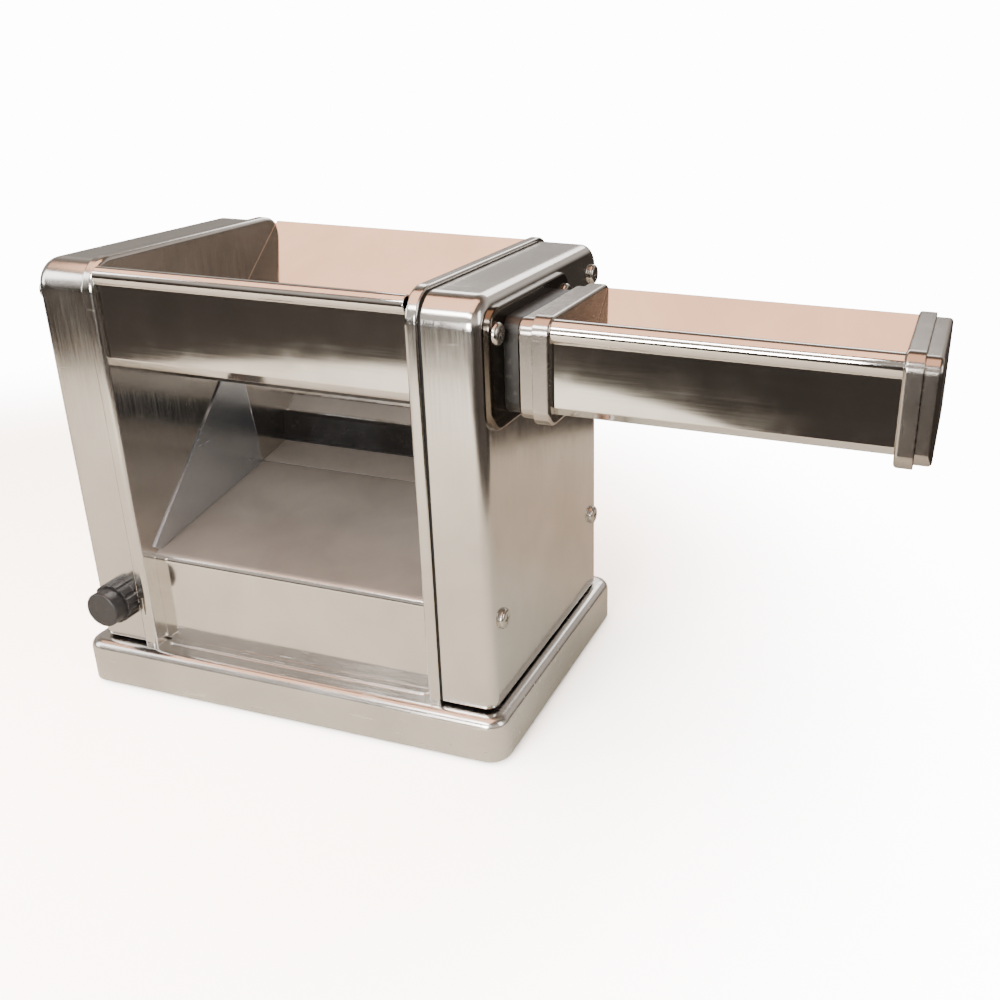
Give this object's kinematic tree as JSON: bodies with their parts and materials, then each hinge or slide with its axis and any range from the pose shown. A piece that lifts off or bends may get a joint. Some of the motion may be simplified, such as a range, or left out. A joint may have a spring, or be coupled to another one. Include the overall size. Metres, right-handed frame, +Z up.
{
  "type": "pasta roller machine",
  "caption": "Tabletop motor-driven pasta roller in polished steel: V hopper over two rollers, open chute, thickness knob, push-button and a docked strip-cutting attachment on the right.",
  "frame": {"origin": "middle of the overall outline in plan (knob to cutter end cap, button to base), on the table under the feet", "axes": "+X to the operator's right, from the thickness knob towards the docked cutter; -Y towards the operator (open chute side); +Z up"},
  "size_m": [0.599, 0.2366, 0.316],
  "materials": {
    "base_steel": "polished stainless sheet with worn edges",
    "frame_steel": "polished stainless rim",
    "cover_steel": "brushed and polished stainless sheet",
    "panel_steel": "mirror-polished stainless sheet",
    "rear_steel": "satin stainless sheet",
    "bracket_steel": "satin stainless with fine scratches",
    "dock_steel": "dark polished steel",
    "dock_plastic": "black moulded plastic",
    "fastener_steel": "turned stainless",
    "roller_steel": "ground stainless",
    "cutter_steel": "turned stainless",
    "gear_steel": "cut and greased steel",
    "bush_bronze": "sintered bronze",
    "slider_steel": "ground steel blocks",
    "scraper_plastic": "glossy black food-grade plastic",
    "button_plastic": "black moulded plastic",
    "knob_plastic": "black moulded plastic",
    "dial_aluminium": "satin dial disc",
    "motor_paint": "dark painted motor can",
    "gasket_rubber": "black sealing strip",
    "foot_rubber": "black rubber"
  },
  "bodies": {
    "machine": {"base_pan": "base_steel", "bottom_plate": "base_steel", "rubber_feet": "foot_rubber", "left_frame": "frame_steel", "right_frame": "frame_steel", "left_cover": "cover_steel", "right_cover": "cover_steel", "left_gasket": "gasket_rubber", "right_gasket": "gasket_rubber", "cover_screws": "fastener_steel", "cover_pillars": "fastener_steel", "tie_rods": "fastener_steel", "front_hopper_panel": "panel_steel", "rear_hopper_sheet": "panel_steel", "rear_panel": "rear_steel", "lower_casing": "panel_steel", "rear_tray": "panel_steel", "rear_apron": "scraper_plastic", "cheek_left": "panel_steel", "cheek_right": "panel_steel", "motor_body": "motor_paint", "front_scraper": "scraper_plastic", "bushes": "bush_bronze", "idler_pins": "fastener_steel", "dock_flange": "dock_steel", "dock_block": "dock_plastic", "button_collar": "button_plastic", "switch_body": "button_plastic", "cable_gland": "button_plastic", "dial_plate": "dial_aluminium"},
    "front_roller": {"front_roller": "roller_steel", "front_roller_gear": "gear_steel", "front_drive_gear": "gear_steel"},
    "carriage": {"slider_left": "slider_steel", "slider_right": "slider_steel", "rear_scraper": "scraper_plastic"},
    "rear_roller": {"rear_roller": "roller_steel", "rear_roller_gear": "gear_steel"},
    "adjuster": {"cam_shaft": "roller_steel", "cams": "gear_steel", "thickness_knob": "knob_plastic"},
    "idler": {"idler_gear": "gear_steel"},
    "compound": {"compound_gear": "gear_steel"},
    "motor_rotor": {"motor_pinion": "gear_steel"},
    "accessory_drive": {"accessory_shaft": "roller_steel", "accessory_gear": "gear_steel"},
    "power_button": {"button_cap": "button_plastic"},
    "cutter": {"cutter_left_cap": "bracket_steel", "cutter_left_plate": "bracket_steel", "cutter_right_plate": "bracket_steel", "cutter_right_cap": "bracket_steel", "cutter_guard": "panel_steel", "cutter_rear_sheet": "panel_steel", "cutter_rods": "fastener_steel", "comb_front": "cutter_steel", "comb_rear": "cutter_steel"},
    "cutter_spindle_a": {"cutter_roller_a": "cutter_steel", "cutter_gear_a": "gear_steel"},
    "cutter_spindle_b": {"cutter_roller_b": "cutter_steel", "cutter_gear_b": "gear_steel"}
  },
  "joints": [
    {"name": "front_roller_spin", "type": "hinge", "parent": "machine", "child": "front_roller", "pos_m": [-0.1155, -0.0156, 0.2405], "axis": [1, 0, 0], "continuous": true},
    {"name": "carriage_slide", "type": "slide", "parent": "machine", "child": "carriage", "axis": [0, 1, 0], "range_m": [0, 0.0042]},
    {"name": "rear_roller_spin", "type": "hinge", "parent": "carriage", "child": "rear_roller", "pos_m": [-0.1155, 0.0249, 0.2405], "axis": [1, 0, 0], "continuous": true},
    {"name": "knob_turn", "type": "hinge", "parent": "machine", "child": "adjuster", "pos_m": [-0.2875, 0.07265, 0.2405], "axis": [1, 0, 0], "range_deg": [0, 270]},
    {"name": "idler_spin", "type": "hinge", "parent": "machine", "child": "idler", "pos_m": [0.0115, 0.00053, 0.1765], "axis": [1, 0, 0], "continuous": true},
    {"name": "compound_spin", "type": "hinge", "parent": "machine", "child": "compound", "pos_m": [0.0175, 0.02965, 0.12925], "axis": [1, 0, 0], "continuous": true},
    {"name": "motor_spin", "type": "hinge", "parent": "machine", "child": "motor_rotor", "pos_m": [0.0235, 0.00265, 0.07906], "axis": [1, 0, 0], "continuous": true},
    {"name": "accessory_spin", "type": "hinge", "parent": "machine", "child": "accessory_drive", "pos_m": [0.0115, -0.04735, 0.26315], "axis": [1, 0, 0], "continuous": true},
    {"name": "button_press", "type": "slide", "parent": "machine", "child": "power_button", "axis": [0, 1, 0], "range_m": [0, 0.0035], "stiffness_N_per_m": 600, "springref_m": -0.002},
    {"name": "cutter_undock", "type": "slide", "parent": "machine", "child": "cutter", "axis": [1, 0, 0], "range_m": [0, 0.04]},
    {"name": "cutter_a_spin", "type": "hinge", "parent": "cutter", "child": "cutter_spindle_a", "pos_m": [0.1795, -0.04735, 0.26315], "axis": [1, 0, 0], "continuous": true},
    {"name": "cutter_b_spin", "type": "hinge", "parent": "cutter", "child": "cutter_spindle_b", "pos_m": [0.1795, -0.02635, 0.26315], "axis": [1, 0, 0], "continuous": true}
  ],
  "couplings": [
    {"joint": "rear_roller_spin", "follows": "front_roller_spin", "ratio": -1},
    {"joint": "idler_spin", "follows": "front_roller_spin", "ratio": -0.57143},
    {"joint": "compound_spin", "follows": "front_roller_spin", "ratio": 1.7778},
    {"joint": "motor_spin", "follows": "front_roller_spin", "ratio": -6.6667},
    {"joint": "accessory_spin", "follows": "front_roller_spin", "ratio": -1.6},
    {"joint": "cutter_a_spin", "follows": "front_roller_spin", "ratio": -1.6},
    {"joint": "cutter_b_spin", "follows": "front_roller_spin", "ratio": 1.6},
    {"joint": "knob_turn", "follows": "carriage_slide", "rad_per_m": 1122}
  ]
}
